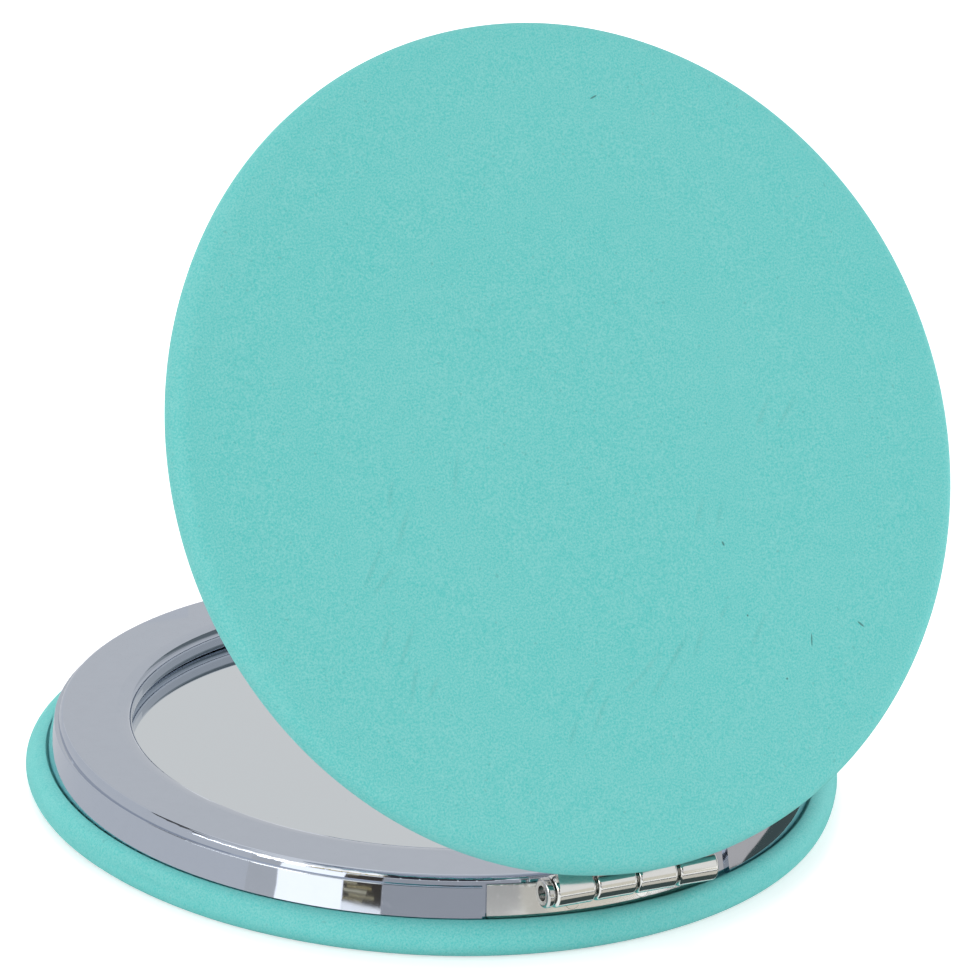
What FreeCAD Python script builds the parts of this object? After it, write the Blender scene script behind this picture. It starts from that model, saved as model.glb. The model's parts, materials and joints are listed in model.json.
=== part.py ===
"""Round folding compact mirror: two padded, plated halves on a rolled-knuckle hinge.

Each half is a plated ring frame that holds a glass mirror, closed at the back by a padded cover: a skin
wrapped over foam and a stiff board. The two halves are alike. The lid is such a half turned over about
the line that runs from the hinge to the front, then swung open about the hinge pin.

Millimetres, +Z up. The origin is the centre of the base's underside, and the hinge is on the -Y side.
"""

import FreeCAD
import Part

import math
import os

V = FreeCAD.Vector

# Whole object
COVER_DIAMETER = 65.0        # across the padded cover, the widest part
LID_OPEN_ANGLE = 60.0        # degrees from shut, as the compact stands
RIM_GAP = 0.2                # between the two rims when shut
CUT_OVERRUN = 2.0            # how far a cutter passes the face that it opens

# Padded cover: skin over foam over board, with the skin's margin turned in under the frame
SKIN_THICKNESS = 0.6
FOAM_THICKNESS = 0.7
BOARD_THICKNESS = 0.7
EDGE_BULGE = 0.25            # how far the padded edge rises above the frame's seat
COVER_OVERHANG = 1.65        # cover past the frame's foot, all round
EDGE_ROUND_SHARE = 0.92      # share of the overhang that is the rounded edge
BOARD_MARGIN = 0.9           # board's edge inside the frame's foot
TURN_IN_WIDTH = 4.5          # skin margin glued on top of the board
SEAT_MARGIN = 0.05           # between the frame's foot and the bulge beside it
LID_CROWN = 0.4              # rise of the lid's face at its middle; the base is pressed flat

# Ring frame
FRAME_WALL = 2.15            # at its foot
WALL_TILT = 12.0             # degrees that the outer wall leans in towards the rim
RIM_WIDTH = 6.75             # from the frame's foot to the opening
RIM_WALL = 1.2               # rim over the channel behind it
RIM_EDGE_ROUND = 0.5
LIP_EASE_WIDTH = 0.85        # where the flat rim starts to fall towards the opening
LIP_EASE_DROP = 0.15
LIP_ROUND = 0.7
LIP_FOOT_ROUND = 0.7         # where the lip curves back on to the mirror
RIB_THICKNESS = 0.8          # ring rib that centres the mirror
BAND_STEP = 0.3              # raised band round the foot of the outer wall
BAND_DROP = 0.7              # band's top below the rim
BAND_EDGE_ROUND = 0.12
BAND_FOOT_ROUND = 0.2
BAND_BREAK = 21.75           # band left out behind the hinge
BAND_BREAK_SHIFT = 0.82      # middle of that break, to the right of the compact's

# Mirrors
MIRROR_DEPTH = 2.1           # mirror's face below the rim
MIRROR_THICKNESS = 1.15
MIRROR_LIFT = 0.05           # mirror's back above the frame's seat, held there by its pad
MIRROR_LAP = 1.4             # mirror reaching under the rim
MIRROR_CLEARANCE = 0.15
MAGNIFIER_RADIUS = 800.0     # radius of curvature of the lid's concave mirror
PAD_MARGIN = 0.2             # pad behind the mirror, inside the turned-in skin

# Hinge
HINGE_SETOFF = 0.15          # pin axis outside the cover's edge, so that it opens flat
HINGE_LENGTH = 14.0
HINGE_SHIFT = 0.6            # tube's middle, to the right of the compact's
KNUCKLE_COUNT = 4
KNUCKLE_GAP = 0.2
KNUCKLE_EDGE_ROUND = 0.25
PIN_DIAMETER = 1.4
PIN_CLEARANCE = 0.03
PIN_RECESS = 0.4             # pin's right end inside the tube
PIN_CHAMFER = 0.12
PIN_HEAD_DIAMETER = 2.3      # rolled, hollow head against the tube's left end
PIN_HEAD_LENGTH = 0.65
PIN_HEAD_ROUND = 0.2
PIN_HOLLOW_DIAMETER = 1.2
PIN_HOLLOW_DEPTH = 0.5
LEAF_THICKNESS = 0.5
LEAF_WIDTH = 18.9            # plate let into the frame's wall
LEAF_FOOT_GAP = 0.1
LEAF_TOP_GAP = 0.05          # plate's top under the rim's edge
LEAF_EDGE_ROUND = 0.15
LEAF_SETBACK = 0.03          # plate's face below the frame's wall
POCKET_END_GAP = 0.1
SEAM_GAP = 0.15              # slit where the rolled sheet meets its own arm

# Rivets that hold a leaf to its frame
RIVET_SPACING = 6.0
RIVET_SHANK_DIAMETER = 0.8
RIVET_HEAD_DIAMETER = 1.2
RIVET_HEAD_HEIGHT = 0.25     # of the head formed inside the wall
RIVET_SINK_DEPTH = 0.3       # of the head sunk flush into the leaf
RIVET_SINK_OVERRUN = 0.3     # sunk head's cone past the leaf's face, before it is dressed flush
RIVET_CLEARANCE = 0.02

# Closing magnets, in the channel between rib and wall at the front
MAGNET_LENGTH = 6.0
MAGNET_WIDTH = 1.6
MAGNET_HEIGHT = 1.5
MAGNET_CLEARANCE = 0.1

# Heights worked out from the stack, from the table up
FOAM_FLOOR = SKIN_THICKNESS
BOARD_FLOOR = FOAM_FLOOR + FOAM_THICKNESS
BOARD_TOP = BOARD_FLOOR + BOARD_THICKNESS
SEAT = BOARD_TOP + SKIN_THICKNESS
EDGE_TOP = SEAT + EDGE_BULGE
MIRROR_FLOOR = SEAT + MIRROR_LIFT
MIRROR_FACE = MIRROR_FLOOR + MIRROR_THICKNESS
RIM_TOP = MIRROR_FACE + MIRROR_DEPTH
CHANNEL_TOP = RIM_TOP - RIM_WALL
BAND_TOP = RIM_TOP - BAND_DROP
HINGE_Z = RIM_TOP + RIM_GAP / 2

# Radii worked out from the outside in
COVER_RADIUS = COVER_DIAMETER / 2
FRAME_RADIUS = COVER_RADIUS - COVER_OVERHANG
EDGE_REACH = COVER_OVERHANG * EDGE_ROUND_SHARE
FLAT_RADIUS = COVER_RADIUS - EDGE_REACH
BOARD_RADIUS = FRAME_RADIUS - BOARD_MARGIN
TURN_IN_RADIUS = BOARD_RADIUS - TURN_IN_WIDTH
WALL_INSIDE = FRAME_RADIUS - FRAME_WALL
OPENING_RADIUS = FRAME_RADIUS - RIM_WIDTH
MIRROR_RADIUS = OPENING_RADIUS + MIRROR_LAP
RIB_INSIDE = MIRROR_RADIUS + MIRROR_CLEARANCE
RIB_OUTSIDE = RIB_INSIDE + RIB_THICKNESS
PAD_RADIUS = min(TURN_IN_RADIUS, MIRROR_RADIUS) - PAD_MARGIN

# Hinge places
HINGE_Y = -(COVER_RADIUS + HINGE_SETOFF)
BORE_RADIUS = PIN_DIAMETER / 2 + PIN_CLEARANCE
KNUCKLE_RADIUS = BORE_RADIUS + LEAF_THICKNESS
KNUCKLE_PITCH = HINGE_LENGTH / KNUCKLE_COUNT
LEAF_TOP = HINGE_Z - BORE_RADIUS
RIVET_Z = (SEAT + CHANNEL_TOP) / 2
CHANNEL_MIDDLE = (RIB_OUTSIDE + WALL_INSIDE) / 2

# Depths inside the band's leaning face
LEAF_INSET = BAND_STEP + LEAF_SETBACK
POCKET_INSET = LEAF_INSET + LEAF_THICKNESS

X_AXIS = V(1, 0, 0)
Y_AXIS = V(0, 1, 0)
Z_AXIS = V(0, 0, 1)
FULL_TURN = 360.0
HALF_TURN = 180.0
TOWARDS_HINGE = -90.0        # degrees, the -Y side seen from above

# Directions in a turned profile, in degrees
UPWARDS = 90.0
INWARDS = 180.0
DOWNWARDS = -90.0

# Sides that the compact's right is on, in each half's own lie
BASE_RIGHT = 1
LID_RIGHT = -1


# Profiles and turned shapes

def at(radius, height):
    """A point of a turned profile: radius along X, height along Z."""
    return V(radius, 0, height)


def line(start, end):
    return Part.LineSegment(start, end).toShape()


def arc(start, middle, end):
    return Part.Arc(start, middle, end).toShape()


def arc_point(centre, radius, angle):
    turn = math.radians(angle)
    return centre + at(radius * math.cos(turn), radius * math.sin(turn))


def arc_about(centre, radius, start, end):
    """Arc about a centre from one angle to another, in degrees of the profile's plane."""
    angles = (start, (start + end) / 2, end)
    return arc(*[arc_point(centre, radius, angle) for angle in angles])


def outline(points):
    """Straight edges from each point to the next."""
    return [line(start, end) for start, end in zip(points, points[1:])]


def turned(edges, angle=FULL_TURN):
    """Solid swept by a closed profile turned about Z, centred on the hinge side if it isn't a full turn."""
    face = Part.Face(Part.Wire(Part.__sortEdges__(edges)))
    solid = face.revolve(V(0, 0, 0), Z_AXIS, angle)
    if angle < FULL_TURN:
        solid.rotate(V(0, 0, 0), Z_AXIS, TOWARDS_HINGE - angle / 2)
    return solid


def disc(radius, floor, top):
    return Part.makeCylinder(radius, top - floor, V(0, 0, floor), Z_AXIS)


def half_angle(half_width, radius):
    """Degrees that a chord's half width takes up at a radius."""
    return math.degrees(math.asin(half_width / radius))


# Padded cover

def edge_quarters(inset):
    """The rounded edge, lower quarter then upper quarter, a given depth inside the skin's surface."""
    middle = EDGE_TOP / 2
    reach = EDGE_REACH - inset
    rise = middle - inset
    diagonal = math.sqrt(0.5)
    low = at(FLAT_RADIUS, inset)
    side = at(FLAT_RADIUS + reach, middle)
    high = at(FLAT_RADIUS, EDGE_TOP - inset)
    lower = arc(low, at(FLAT_RADIUS + reach * diagonal, middle - rise * diagonal), side)
    upper = arc(side, at(FLAT_RADIUS + reach * diagonal, middle + rise * diagonal), high)
    return [lower, upper]


def face_edge(height, crown):
    """The cover's face from its middle to the rounded edge, flat or crowned."""
    middle, end = at(0, height - crown), at(FLAT_RADIUS, height)
    if crown == 0:
        return line(middle, end)
    sphere_radius = (FLAT_RADIUS ** 2 + crown ** 2) / (2 * crown)
    half_reach = FLAT_RADIUS / 2
    sag = sphere_radius - math.sqrt(sphere_radius ** 2 - half_reach ** 2)
    return arc(middle, at(half_reach, height - crown + sag), end)


def pinch_point():
    """Where the padded edge dips to the frame's foot."""
    return at(FRAME_RADIUS + SEAT_MARGIN, SEAT)


def cover_skin(crown):
    """Skin: face, rounded edge, dip beside the frame's foot, and the margin turned in on the board."""
    pinch = pinch_point()
    reach, drop = FLAT_RADIUS - pinch.x, EDGE_TOP - SEAT
    diagonal = math.sqrt(0.5)
    dip_middle = at(FLAT_RADIUS - reach * diagonal, EDGE_TOP - drop * (1 - diagonal))
    edges = [face_edge(0, crown)] + edge_quarters(0)
    edges.append(arc(at(FLAT_RADIUS, EDGE_TOP), dip_middle, pinch))
    edges.append(line(pinch, at(TURN_IN_RADIUS, SEAT)))
    edges.append(line(at(TURN_IN_RADIUS, SEAT), at(TURN_IN_RADIUS, BOARD_TOP)))
    edges.append(line(at(TURN_IN_RADIUS, BOARD_TOP), at(pinch.x, BOARD_TOP)))
    edges.append(line(at(pinch.x, BOARD_TOP), at(FLAT_RADIUS, EDGE_TOP - SKIN_THICKNESS)))
    edges += edge_quarters(SKIN_THICKNESS)
    edges.append(face_edge(SKIN_THICKNESS, crown))
    edges.append(line(at(0, SKIN_THICKNESS - crown), at(0, -crown)))
    return turned(edges)


def cover_foam(crown):
    """Foam: fills the skin's face and padded edge, round the board."""
    pinch = pinch_point()
    edges = [face_edge(FOAM_FLOOR, crown)] + edge_quarters(SKIN_THICKNESS)
    edges.append(line(at(FLAT_RADIUS, EDGE_TOP - SKIN_THICKNESS), at(pinch.x, BOARD_TOP)))
    edges.append(line(at(pinch.x, BOARD_TOP), at(BOARD_RADIUS, BOARD_TOP)))
    edges.append(line(at(BOARD_RADIUS, BOARD_TOP), at(BOARD_RADIUS, BOARD_FLOOR)))
    edges.append(line(at(BOARD_RADIUS, BOARD_FLOOR), at(0, BOARD_FLOOR)))
    edges.append(line(at(0, BOARD_FLOOR), at(0, FOAM_FLOOR - crown)))
    return turned(edges)


def cover_board():
    return disc(BOARD_RADIUS, BOARD_FLOOR, BOARD_TOP)


# Mirror

def plain_mirror():
    return disc(MIRROR_RADIUS, MIRROR_FLOOR, MIRROR_FACE)


def magnifying_mirror():
    """Glass disc whose face is a shallow bowl, cut by a ball whose poles lie far to either side."""
    ball_centre = MIRROR_FACE + math.sqrt(MAGNIFIER_RADIUS ** 2 - MIRROR_RADIUS ** 2)
    return plain_mirror().cut(Part.makeSphere(MAGNIFIER_RADIUS, V(0, 0, ball_centre), X_AXIS))


def mirror_pad():
    return disc(PAD_RADIUS, BOARD_TOP, MIRROR_FLOOR)


# Ring frame

def wall_radius(height, inset):
    """Radius of the leaning outer wall at a height, a given depth inside the band's face."""
    return FRAME_RADIUS - inset - (height - SEAT) * math.tan(math.radians(WALL_TILT))


def wall_round(height, radius, inset):
    """Centre, at a height, of a round that runs smoothly into the leaning wall."""
    tilt = math.radians(WALL_TILT)
    touch = wall_radius(height + radius * math.sin(tilt), inset)
    return at(touch - radius * math.cos(tilt), height)


def wall_core(inset):
    """Everything inside the leaning wall, from the table to the hinge's height."""
    low, high = wall_radius(0, inset), wall_radius(HINGE_Z, inset)
    return Part.makeCone(low, high, HINGE_Z, V(0, 0, 0), Z_AXIS)


def lip_arcs():
    """From the flat rim down to the mirror: a gentle ease, a round, and a round back under the lip."""
    ease_radius = (LIP_EASE_WIDTH ** 2 + LIP_EASE_DROP ** 2) / (2 * LIP_EASE_DROP)
    tilt = math.degrees(math.asin(LIP_EASE_WIDTH / ease_radius))
    drop = LIP_EASE_DROP + LIP_ROUND * math.cos(math.radians(tilt))
    round_centre = at(OPENING_RADIUS + LIP_ROUND, RIM_TOP - drop)
    ease_end = arc_point(round_centre, LIP_ROUND, UPWARDS + tilt)
    ease_centre = at(ease_end.x + LIP_EASE_WIDTH, RIM_TOP - ease_radius)
    ease = arc_about(ease_centre, ease_radius, UPWARDS, UPWARDS + tilt)
    lip_round = arc_about(round_centre, LIP_ROUND, UPWARDS + tilt, INWARDS)
    foot_centre = at(OPENING_RADIUS + LIP_FOOT_ROUND, MIRROR_FACE + LIP_FOOT_ROUND)
    lip_foot = arc_about(foot_centre, LIP_FOOT_ROUND, INWARDS, DOWNWARDS + FULL_TURN)
    return ease, lip_round, lip_foot


def frame_ring():
    """Turned section: outer wall, rounded rim, lip over the mirror, and the rib that centres it."""
    edge_centre = wall_round(RIM_TOP - RIM_EDGE_ROUND, RIM_EDGE_ROUND, BAND_STEP)
    edge = arc_about(edge_centre, RIM_EDGE_ROUND, WALL_TILT, UPWARDS)
    ease, lip_round, lip_foot = lip_arcs()
    rim = line(edge.lastVertex().Point, ease.firstVertex().Point)
    opening = line(lip_round.lastVertex().Point, lip_foot.firstVertex().Point)
    under_side = [
        lip_foot.lastVertex().Point,
        at(RIB_INSIDE, MIRROR_FACE),
        at(RIB_INSIDE, SEAT),
        at(RIB_OUTSIDE, SEAT),
        at(RIB_OUTSIDE, CHANNEL_TOP),
        at(WALL_INSIDE, CHANNEL_TOP),
        at(WALL_INSIDE, SEAT),
        at(wall_radius(SEAT, BAND_STEP), SEAT),
        edge.firstVertex().Point,
    ]
    return turned([edge, rim, ease, lip_round, opening, lip_foot] + outline(under_side))


def wall_band(right):
    """Raised band round the wall's foot, left open behind the hinge."""
    root = (WALL_INSIDE + wall_radius(BAND_TOP, BAND_STEP)) / 2
    foot_centre = wall_round(SEAT + BAND_FOOT_ROUND, BAND_FOOT_ROUND, 0)
    top_centre = wall_round(BAND_TOP - BAND_EDGE_ROUND, BAND_EDGE_ROUND, 0)
    foot = arc_about(foot_centre, BAND_FOOT_ROUND, DOWNWARDS, WALL_TILT)
    top = arc_about(top_centre, BAND_EDGE_ROUND, WALL_TILT, UPWARDS)
    face = line(foot.lastVertex().Point, top.firstVertex().Point)
    back = [top.lastVertex().Point, at(root, BAND_TOP), at(root, SEAT), foot.firstVertex().Point]
    break_angle = 2 * half_angle(BAND_BREAK / 2, FRAME_RADIUS)
    band = turned([foot, face, top] + outline(back), FULL_TURN - break_angle)
    band.rotate(V(0, 0, 0), Z_AXIS, HALF_TURN + right * half_angle(BAND_BREAK_SHIFT, FRAME_RADIUS))
    return band


def hinge_pocket():
    """Cutter for the recess in the wall that takes the leaf, open at the foot."""
    far_side, foot, top = FRAME_RADIUS + CUT_OVERRUN, SEAT - CUT_OVERRUN, LEAF_TOP + LEAF_TOP_GAP
    low, high = at(wall_radius(foot, POCKET_INSET), foot), at(wall_radius(top, POCKET_INSET), top)
    corners = [low, at(far_side, foot), at(far_side, top), high, low]
    half_width = LEAF_WIDTH / 2 + POCKET_END_GAP
    return turned(outline(corners), 2 * half_angle(half_width, wall_radius(LEAF_TOP, LEAF_INSET)))


def rivet_holes():
    radius = RIVET_SHANK_DIAMETER / 2 + RIVET_CLEARANCE
    length = FRAME_RADIUS + CUT_OVERRUN - CHANNEL_MIDDLE
    return at_rivets(Part.makeCylinder(radius, length, V(0, -CHANNEL_MIDDLE, RIVET_Z), -Y_AXIS))


def frame(right):
    ring = frame_ring().fuse(wall_band(right)).removeSplitter()
    return ring.cut(hinge_pocket()).cut(rivet_holes())


# Hinge

def at_rivets(shape):
    """One shape, made on the hinge's centre line, at each rivet's place round the wall."""
    angle = half_angle(RIVET_SPACING / 2, wall_radius(RIVET_Z, LEAF_INSET))
    places = []
    for turn in (-angle, angle):
        copy = shape.copy()
        copy.rotate(V(0, 0, 0), Z_AXIS, turn)
        places.append(copy)
    return Part.makeCompound(places)


def rivet_sink(clearance):
    """Cone of a rivet's sunk head, from inside the leaf to just past its face."""
    shank_radius = RIVET_SHANK_DIAMETER / 2 + clearance
    spread = (RIVET_HEAD_DIAMETER - RIVET_SHANK_DIAMETER) / (2 * RIVET_SINK_DEPTH)
    length = RIVET_SINK_DEPTH + RIVET_SINK_OVERRUN
    foot = V(0, RIVET_SINK_DEPTH - wall_radius(RIVET_Z, LEAF_INSET), RIVET_Z)
    return Part.makeCone(shank_radius, shank_radius + spread * length, length, foot, -Y_AXIS)


def hinge_rivets():
    """Rivets through leaf and wall, each with a head flush in the leaf and one formed inside the wall."""
    inside = WALL_INSIDE - RIVET_HEAD_HEIGHT
    length = FRAME_RADIUS - inside
    foot = V(0, -inside, RIVET_Z)
    blank = Part.makeCylinder(RIVET_HEAD_DIAMETER / 2, length, foot, -Y_AXIS)
    formed_head = blank.common(disc(WALL_INSIDE, 0, HINGE_Z))
    shank = Part.makeCylinder(RIVET_SHANK_DIAMETER / 2, length, foot, -Y_AXIS)
    dressed = shank.fuse(rivet_sink(0)).common(wall_core(LEAF_INSET))
    return at_rivets(dressed.fuse(formed_head).removeSplitter())


def leaf_plate():
    """Plate bent to the frame's leaning wall, with a softened top edge."""
    foot = SEAT + LEAF_FOOT_GAP
    edge_centre = wall_round(LEAF_TOP - LEAF_EDGE_ROUND, LEAF_EDGE_ROUND, LEAF_INSET)
    edge = arc_about(edge_centre, LEAF_EDGE_ROUND, WALL_TILT, UPWARDS)
    sides = [
        edge.lastVertex().Point,
        at(wall_radius(LEAF_TOP, POCKET_INSET), LEAF_TOP),
        at(wall_radius(foot, POCKET_INSET), foot),
        at(wall_radius(foot, LEAF_INSET), foot),
        edge.firstVertex().Point,
    ]
    half_turn = half_angle(LEAF_WIDTH / 2, wall_radius(LEAF_TOP, LEAF_INSET))
    return turned([edge] + outline(sides), 2 * half_turn)


def knuckle_start(index, right):
    tube_start = right * HINGE_SHIFT - HINGE_LENGTH / 2
    return tube_start + index * KNUCKLE_PITCH + KNUCKLE_GAP / 2


def knuckle(index, right):
    """Rolled tube with softened ends, and the arm that runs from under it to the plate."""
    start, length = knuckle_start(index, right), KNUCKLE_PITCH - KNUCKLE_GAP
    axis_foot = V(start, HINGE_Y, HINGE_Z)
    tube = Part.makeCylinder(KNUCKLE_RADIUS, length, axis_foot, X_AXIS)
    tube = tube.makeFillet(KNUCKLE_EDGE_ROUND, [e for e in tube.Edges if e.isClosed()])
    arm_floor = HINGE_Z - KNUCKLE_RADIUS
    arm_length = -HINGE_Y - WALL_INSIDE
    arm_width = length - 2 * KNUCKLE_EDGE_ROUND
    arm_corner = V(start + KNUCKLE_EDGE_ROUND, HINGE_Y, arm_floor)
    arm = Part.makeBox(arm_width, arm_length, LEAF_THICKNESS, arm_corner)
    arm = arm.cut(wall_core(POCKET_INSET))
    seam_corner = V(start - CUT_OVERRUN, HINGE_Y, arm_floor + LEAF_THICKNESS)
    seam = Part.makeBox(length + 2 * CUT_OVERRUN, KNUCKLE_RADIUS, SEAM_GAP, seam_corner)
    return tube.cut(seam).fuse(arm)


def hinge_leaf(right):
    """Plate with every other knuckle, bored for the pin and drilled for the rivets."""
    leaf = leaf_plate()
    for index in range(1, KNUCKLE_COUNT, 2):
        leaf = leaf.fuse(knuckle(index, right))
    bore_foot = V(-HINGE_LENGTH, HINGE_Y, HINGE_Z)
    bore = Part.makeCylinder(BORE_RADIUS, 2 * HINGE_LENGTH, bore_foot, X_AXIS)
    sinks = at_rivets(rivet_sink(RIVET_CLEARANCE))
    return leaf.cut(bore).cut(rivet_holes()).cut(sinks).removeSplitter()


def hinge_pin():
    """Pin with a hollow head outside the tube's left end, and a plain end inside its right end."""
    neck = V(HINGE_SHIFT - HINGE_LENGTH / 2, HINGE_Y, HINGE_Z)
    length = HINGE_LENGTH - PIN_RECESS
    shank = Part.makeCylinder(PIN_DIAMETER / 2, length, neck, X_AXIS)
    far_edges = [e for e in shank.Edges if e.isClosed() and e.CenterOfMass.x > HINGE_SHIFT]
    shank = shank.makeChamfer(PIN_CHAMFER, far_edges)
    crest = neck - X_AXIS * PIN_HEAD_LENGTH
    head = Part.makeCylinder(PIN_HEAD_DIAMETER / 2, PIN_HEAD_LENGTH, crest, X_AXIS)
    head = head.makeFillet(PIN_HEAD_ROUND, [e for e in head.Edges if e.isClosed()])
    hollow = Part.makeCylinder(PIN_HOLLOW_DIAMETER / 2, PIN_HOLLOW_DEPTH, crest, X_AXIS)
    return head.cut(hollow).fuse(shank)


# Closure

def magnet():
    """Bar magnet against the rim's underside, just outside the rib, at the front."""
    corner = V(-MAGNET_LENGTH / 2, RIB_OUTSIDE + MAGNET_CLEARANCE, CHANNEL_TOP - MAGNET_HEIGHT)
    return Part.makeBox(MAGNET_LENGTH, MAGNET_WIDTH, MAGNET_HEIGHT, corner)


# Assembly

def half(crown, mirror, right):
    """The pieces of one half, lying cover down with the hinge towards -Y."""
    return {
        "cover_skin": cover_skin(crown),
        "cover_foam": cover_foam(crown),
        "cover_board": cover_board(),
        "frame": frame(right),
        "mirror": mirror,
        "mirror_pad": mirror_pad(),
        "hinge_leaf": hinge_leaf(right),
        "hinge_rivets": hinge_rivets(),
        "magnet": magnet(),
    }


def as_lid(shape):
    """Turns a half over on to the base, then opens it about the pin."""
    turned_over = shape.copy()
    turned_over.rotate(V(0, 0, HINGE_Z), Y_AXIS, HALF_TURN)
    turned_over.rotate(V(0, HINGE_Y, HINGE_Z), X_AXIS, LID_OPEN_ANGLE)
    return turned_over


def pieces():
    found = {"base_" + name: shape for name, shape in half(0, plain_mirror(), BASE_RIGHT).items()}
    for name, shape in half(LID_CROWN, magnifying_mirror(), LID_RIGHT).items():
        found["lid_" + name] = as_lid(shape)
    found["hinge_pin"] = hinge_pin()
    return found


def main():
    os.makedirs("parts", exist_ok=True)
    for name, shape in pieces().items():
        box = shape.BoundBox
        print(f"{name:18s} solids {len(shape.Solids)} valid {shape.isValid()} volume {shape.Volume:9.2f} "
              f"size {box.XLength:.2f} {box.YLength:.2f} {box.ZLength:.2f}")
        shape.exportStep(os.path.join("parts", name + ".step"))


main()
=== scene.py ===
"""Round folding compact mirror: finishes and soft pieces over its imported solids.

The plated frames, mirrors, hinge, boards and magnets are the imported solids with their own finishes. The
padded covers, their foam and the foam tape behind the mirrors are surfaces of revolution made here.
"""

import json
import math

import bpy
import numpy as np
from bpy.props import FloatProperty, FloatVectorProperty, PointerProperty
from bpy.types import Operator, Panel, PropertyGroup
from mathutils import Matrix, Vector


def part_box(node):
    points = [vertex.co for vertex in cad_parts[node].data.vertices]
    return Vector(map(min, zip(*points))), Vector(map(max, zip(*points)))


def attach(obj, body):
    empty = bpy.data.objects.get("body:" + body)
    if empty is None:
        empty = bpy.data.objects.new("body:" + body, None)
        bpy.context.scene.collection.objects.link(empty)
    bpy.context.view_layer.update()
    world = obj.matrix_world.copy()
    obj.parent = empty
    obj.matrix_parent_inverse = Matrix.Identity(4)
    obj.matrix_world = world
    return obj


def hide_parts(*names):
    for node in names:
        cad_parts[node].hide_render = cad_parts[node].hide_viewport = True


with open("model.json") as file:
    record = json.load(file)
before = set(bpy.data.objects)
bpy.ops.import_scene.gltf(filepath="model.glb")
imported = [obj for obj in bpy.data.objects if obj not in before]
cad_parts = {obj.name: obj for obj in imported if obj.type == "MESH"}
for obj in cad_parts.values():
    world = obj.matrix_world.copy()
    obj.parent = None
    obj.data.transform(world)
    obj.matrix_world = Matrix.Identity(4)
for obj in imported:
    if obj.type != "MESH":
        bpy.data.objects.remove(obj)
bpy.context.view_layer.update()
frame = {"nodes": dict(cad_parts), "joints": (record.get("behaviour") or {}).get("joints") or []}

bl_info = {
    "name": "Compact mirror",
    "version": (1, 0, 0),
    "blender": (4, 5, 0),
    "location": "View3D > Sidebar > Compact",
    "description": "Padded covers, plated frames and mirrors of a round folding compact",
    "category": "Object",
}

MILLIMETRE = 0.001

JOINT = frame["joints"][0]
HINGE = np.array(JOINT["pos_m"])
LID_ANGLE = math.radians(-JOINT["range_deg"][0])

COVER_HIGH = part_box("base_cover_skin")[1]
BOARD_LOW, BOARD_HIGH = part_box("base_cover_board")
FRAME_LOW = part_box("base_frame")[0]
PAD_LOW, PAD_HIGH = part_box("base_mirror_pad")

HALVES = ("base", "lid")
QUARTER = math.pi / 2

# Shallow creases in the lid's skin: both ends. Millimetres in the lid's own half, before it is turned over.
CREASES = (
    (5.5, -22.3, 4.6, -20.8), (3.4, -21.7, 1.6, -19.0), (3.6, -19.2, 2.6, -18.0),
    (0.3, -19.2, -1.3, -18.2), (-1.3, -18.2, -2.9, -16.9), (-1.9, -19.8, -3.7, -17.9),
    (-3.7, -17.9, -5.1, -16.5), (-4.3, -17.2, -5.6, -15.8), (-6.0, -17.4, -7.3, -15.1),
    (-11.0, -17.3, -12.6, -15.2), (18.9, -9.2, 17.0, -7.5), (19.6, -8.7, 17.8, -6.1),
    (16.4, -6.1, 15.0, -3.4), (16.5, -3.0, 15.9, -1.3), (19.1, -13.5, 18.2, -11.9),
    (18.0, -14.9, 16.2, -11.9), (17.5, -17.4, 16.6, -14.9), (16.1, -17.4, 15.1, -16.1),
    (11.1, -2.6, 10.3, 0.1), (-15.0, -0.8, -16.4, 1.1), (-17.1, -0.8, -18.6, 0.9),
    (-8.2, -7.7, -9.2, -5.8), (-10.0, -7.9, -10.8, -6.2), (-8.8, -14.8, -9.5, -14.0),
)
CREASE_DEPTH, CREASE_WIDTH = 0.07, 0.30

# A crease's painted shade in the colour: half length as a share of the crease, middle part that is darkest,
# strength
FOLD_REACH, FOLD_CORE, FOLD_SHADE = 0.7, 0.1, 0.14

# Nicks in the lid's skin, in the same half: middle, direction in degrees, half length and half width
NICKS = (
    (-10.25, -9.26, 70, 0.26, 0.12), (-20.78, -16.85, 45, 0.42, 0.10), (-16.27, -17.46, 100, 0.62, 0.08),
    (-11.17, -14.91, 90, 0.12, 0.10), (-13.52, -20.09, 90, 0.11, 0.11), (-6.62, 25.86, 160, 0.40, 0.09),
)
NICK_CORE, NICK_SHADE = 0.55, 0.75

# Leatherette: texture scales per millimetre, spread of its colour (painted glints of the grain, and mottling),
# brightness of specks and of the painted shade in folds, of the painted shade in nicks
GRAIN, MOTTLE, BROAD, SPECK = 7.0, 0.7, 0.05, 2.4
PAINTED_GLINT_AND_MOTTLE = np.array([0.09, 0.055, 0.055])
SPECK_DARK_AND_FOLD_SHADE, NICK_CUT_SHADE = 0.45, 0.25

# Waves of the padded edge: share of the swell, waves in a turn, start in radians
EDGE_SHARE = 0.35
EDGE_WAVES = ((1.0, 3, 0.7), (0.6, 7, 2.1), (0.4, 13, 4.0))

# Where the base's padded edge is pushed out or in: azimuth and half width in degrees, move in millimetres
PUSHES = ((345, 14, 0.95), (202, 16, -0.60), (286, 20, -0.65))

# The foam tape's cut edge bulges by this, in millimetres
TAPE_BULGE = 0.1

# Cells of foam per millimetre, and roughness of the plating
FOAM_CELLS, TAPE_CELLS = 2.2, 3.5
FRAME_ROUGHNESS, HINGE_ROUGHNESS, PIN_ROUGHNESS, MAGNET_ROUGHNESS = 0.035, 0.09, 0.12, 0.2

# Points of the grids that the surfaces and cards are made of
SKIN_TURNS, FOAM_TURNS = 432, 144
LID_ROWS, BASE_ROWS = 110, 40
CARD_TURNS, CARD_ROWS = 33, 9

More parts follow.
